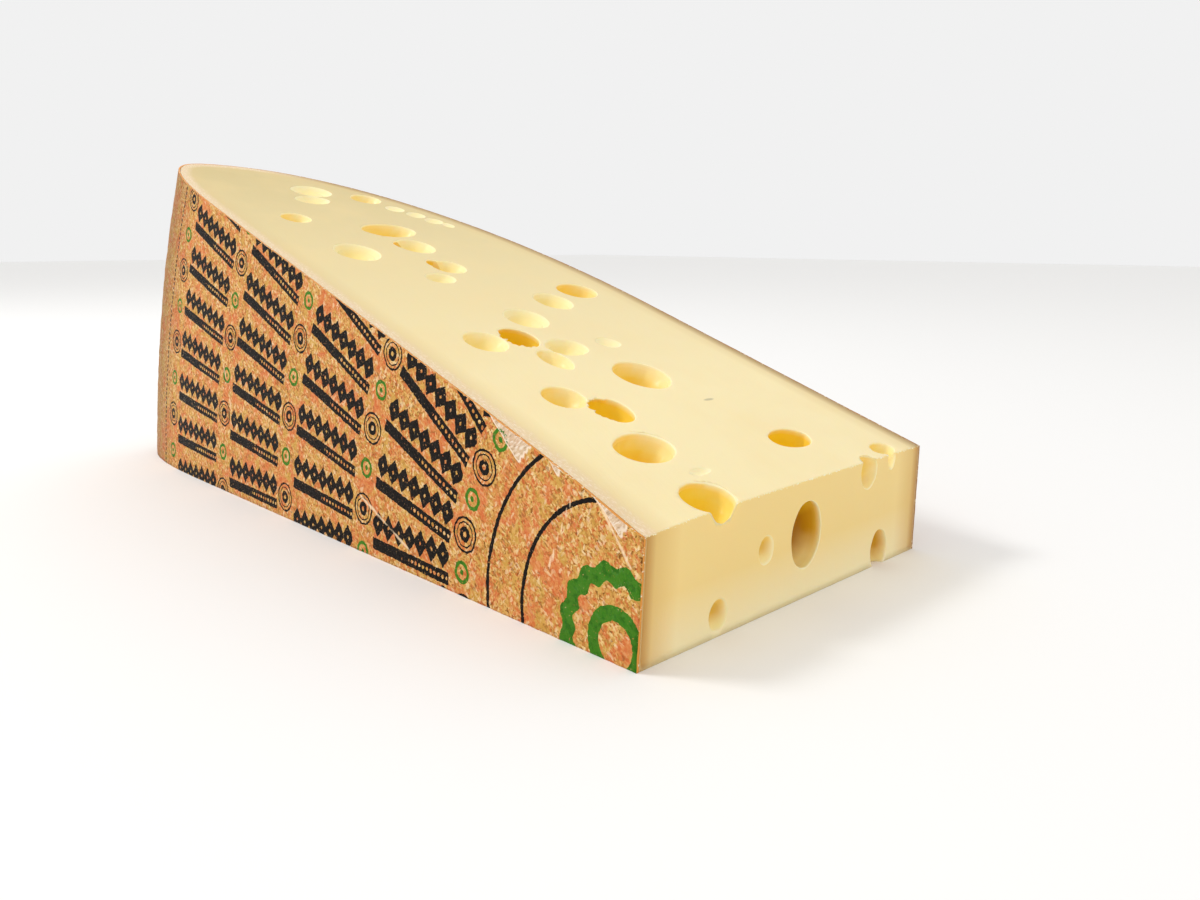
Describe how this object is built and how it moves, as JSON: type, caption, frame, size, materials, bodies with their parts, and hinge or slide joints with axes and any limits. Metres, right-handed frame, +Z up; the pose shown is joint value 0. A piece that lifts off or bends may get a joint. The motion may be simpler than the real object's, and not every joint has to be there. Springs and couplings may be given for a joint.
{
  "type": "cheese wedge",
  "caption": "Wedge of large-eyed hard cheese cut from a wheel, lying on one cut face, with a rising upper cut, a domed rind and a printed flat side.",
  "frame": {"origin": "middle of the bounding box's base, on the cut face that the wedge lies on", "axes": "+Z up; +Y from the near end towards the wheel's rim, along the resting cut; +X along the wheel's axis, from the printed flat face to the plain one"},
  "size_m": [0.191, 0.4738, 0.1949],
  "materials": {
    "cheese": "dull, slightly moist cheese with a dry rind"
  },
  "bodies": {
    "root": {"cheese_wedge": "cheese"}
  },
  "joints": []
}
